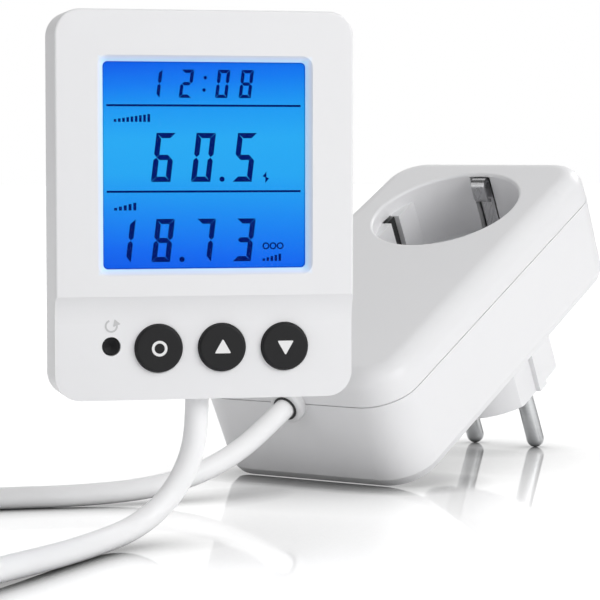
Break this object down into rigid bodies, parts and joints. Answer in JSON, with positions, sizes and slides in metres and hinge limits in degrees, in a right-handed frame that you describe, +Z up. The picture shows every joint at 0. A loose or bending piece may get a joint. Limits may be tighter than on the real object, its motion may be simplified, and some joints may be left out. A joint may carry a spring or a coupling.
{
  "type": "plug-in energy meter",
  "caption": "Mains plug-through socket housing wired to a small square display unit with a blue screen and round keys, its lead put away in a tied coil.",
  "frame": {"origin": "centre of the bounding box of the display and the socket housing, on the floor they stand over, without the cord", "axes": "-Y is the way the display faces, +Y its back, +X to the display's right seen from the front, +Z up; the socket housing lies tilted behind it"},
  "size_m": [0.2691, 0.2526, 0.1091],
  "materials": {
    "case_plastic": "satin",
    "key_plastic": "satin",
    "clear_plastic": "polished",
    "display_glass": "polished",
    "guide_plastic": "polished",
    "frame_plastic": "satin",
    "black_plastic": "satin",
    "board_laminate": "satin",
    "component_plastic": "satin",
    "chip_plastic": "satin",
    "carrier_plastic": "satin",
    "rubber_strip": "matt",
    "cell_steel": "brushed",
    "screw_steel": "satin",
    "spring_steel": "satin",
    "plated_pin": "polished",
    "contact_brass": "satin",
    "clip_steel": "satin",
    "cord_sheath": "satin",
    "tie_plastic": "satin"
  },
  "bodies": {
    "meter": {"display_front_cover": "case_plastic", "display_back_cover": "case_plastic", "display_screws": "screw_steel", "window_lens": "clear_plastic", "lcd_glass": "display_glass", "light_guide": "guide_plastic", "backlight_leds": "frame_plastic", "contact_strip": "rubber_strip", "lcd_frame": "frame_plastic", "display_board": "board_laminate", "key_switches": "black_plastic", "controller_chip": "chip_plastic", "backup_cell": "cell_steel", "display_cord_grommet": "black_plastic", "socket_top_shell": "case_plastic", "plug_bottom_shell": "case_plastic", "housing_screws": "screw_steel", "live_pin": "plated_pin", "neutral_pin": "plated_pin", "pin_carrier": "carrier_plastic", "contact_carrier": "carrier_plastic", "live_contact": "contact_brass", "neutral_contact": "contact_brass", "shutter_spring": "spring_steel", "earth_clips": "clip_steel", "plug_earth_contacts": "clip_steel", "metering_board": "board_laminate", "mains_capacitor": "component_plastic", "smoothing_capacitor": "chip_plastic", "surge_absorber": "component_plastic", "shunt_resistor": "contact_brass", "metering_chip": "chip_plastic", "cord_gland": "frame_plastic", "cord_clamp": "carrier_plastic", "cord_clamp_screws": "screw_steel", "cord_to_display": "cord_sheath", "cord_to_socket": "cord_sheath", "cord_coil": "cord_sheath", "coil_tie": "tie_plastic"},
    "set_key": {"set_button": "key_plastic"},
    "up_key": {"up_button": "key_plastic"},
    "down_key": {"down_button": "key_plastic"},
    "reset_key": {"reset_button": "key_plastic"},
    "shutter": {"shutter_disc": "carrier_plastic"}
  },
  "joints": [
    {"name": "set_key_press", "type": "slide", "parent": "meter", "child": "set_key", "axis": [0, 1, 0], "range_m": [0, 0.0005], "stiffness_N_per_m": 5000},
    {"name": "up_key_press", "type": "slide", "parent": "meter", "child": "up_key", "axis": [0, 1, 0], "range_m": [0, 0.0005], "stiffness_N_per_m": 5000},
    {"name": "down_key_press", "type": "slide", "parent": "meter", "child": "down_key", "axis": [0, 1, 0], "range_m": [0, 0.0005], "stiffness_N_per_m": 5000},
    {"name": "reset_key_press", "type": "slide", "parent": "meter", "child": "reset_key", "axis": [0, 1, 0], "range_m": [0, 0.0005], "stiffness_N_per_m": 5000},
    {"name": "shutter_turn", "type": "hinge", "parent": "meter", "child": "shutter", "pos_m": [0.04521, 0.05181, 0.04731], "axis": [-0.3353, -0.3036, 0.8919], "range_deg": [0, 40], "stiffness_Nm_per_rad": 0.004}
  ]
}
